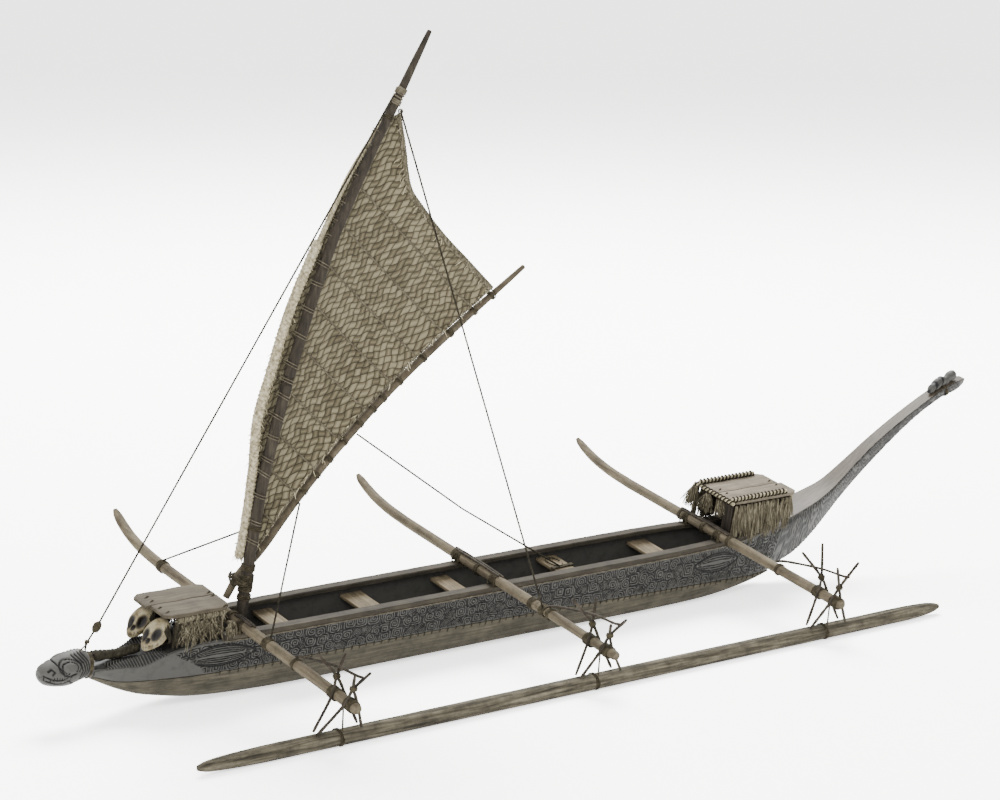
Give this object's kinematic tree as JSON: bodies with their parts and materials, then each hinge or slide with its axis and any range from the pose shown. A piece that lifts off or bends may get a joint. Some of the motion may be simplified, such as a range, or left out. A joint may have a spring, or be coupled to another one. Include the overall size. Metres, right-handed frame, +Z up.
{
  "type": "sailing outrigger canoe model",
  "caption": "Carved sailing outrigger canoe: log hull with raised sides, side float on cross poles, mast with plaited mat sail, small thatched shelter at each end.",
  "frame": {"origin": "middle of the narrow flat on the port side of the keel that the hull stands on, below the middle cross pole", "axes": "+X aft along the keel, +Y to starboard away from the float, +Z up; the hull stands heeled 10.28 degrees to port, resting on its keel and its float"},
  "size_m": [0.884, 0.3358, 0.4799],
  "materials": {
    "dugout_wood": "matte",
    "carved_dark_wood": "matte",
    "plank_wood": "matte",
    "pole_wood": "matte",
    "dark_pole_wood": "matte",
    "float_wood": "matte",
    "plaited_mat": "matte",
    "straw": "matte",
    "bone": "matte",
    "cord": "matte"
  },
  "bodies": {
    "hull": {"dugout_hull": "dugout_wood", "strake_port": "carved_dark_wood", "strake_starboard": "carved_dark_wood", "bow_deck": "carved_dark_wood", "figurehead": "carved_dark_wood", "bow_comb_port": "carved_dark_wood", "bow_comb_starboard": "carved_dark_wood", "sternpost": "carved_dark_wood", "stern_figure": "carved_dark_wood", "rail_port": "plank_wood", "rail_starboard": "plank_wood", "thwart_1": "plank_wood", "thwart_2": "plank_wood", "thwart_3": "plank_wood", "thwart_4": "plank_wood", "thwart_5": "plank_wood", "bow_house_roof_port": "plank_wood", "bow_house_roof_starboard": "plank_wood", "stern_house_roof_port": "plank_wood", "stern_house_roof_starboard": "plank_wood", "boom_1": "pole_wood", "boom_2": "pole_wood", "boom_2_outer": "pole_wood", "boom_3": "pole_wood", "float": "float_wood", "sticks_1_inner": "dark_pole_wood", "sticks_1_outer": "dark_pole_wood", "brace_rod_1": "dark_pole_wood", "sticks_2_inner": "dark_pole_wood", "sticks_2_outer": "dark_pole_wood", "brace_rod_2": "dark_pole_wood", "sticks_3_inner": "dark_pole_wood", "sticks_3_outer": "dark_pole_wood", "brace_rod_3": "dark_pole_wood", "bow_house_thatch_port": "straw", "bow_house_thatch_starboard": "straw", "stern_house_thatch_port": "straw", "stern_house_thatch_starboard": "straw", "skull_port": "bone", "skull_starboard": "bone", "forestay": "cord", "backstay": "cord", "sheet_line": "cord", "tack_line": "cord", "luff_line": "cord"},
    "rig": {"mast": "dark_pole_wood", "boom_spar": "pole_wood", "sail": "plaited_mat"}
  },
  "joints": [
    {"name": "rig_swing", "type": "hinge", "parent": "hull", "child": "rig", "pos_m": [-0.216, 0.00629, 0.00732], "axis": [0.2002, -0.1748, 0.964], "range_deg": [-15, 30], "deforming": ["sheet_line", "tack_line", "luff_line"]}
  ]
}
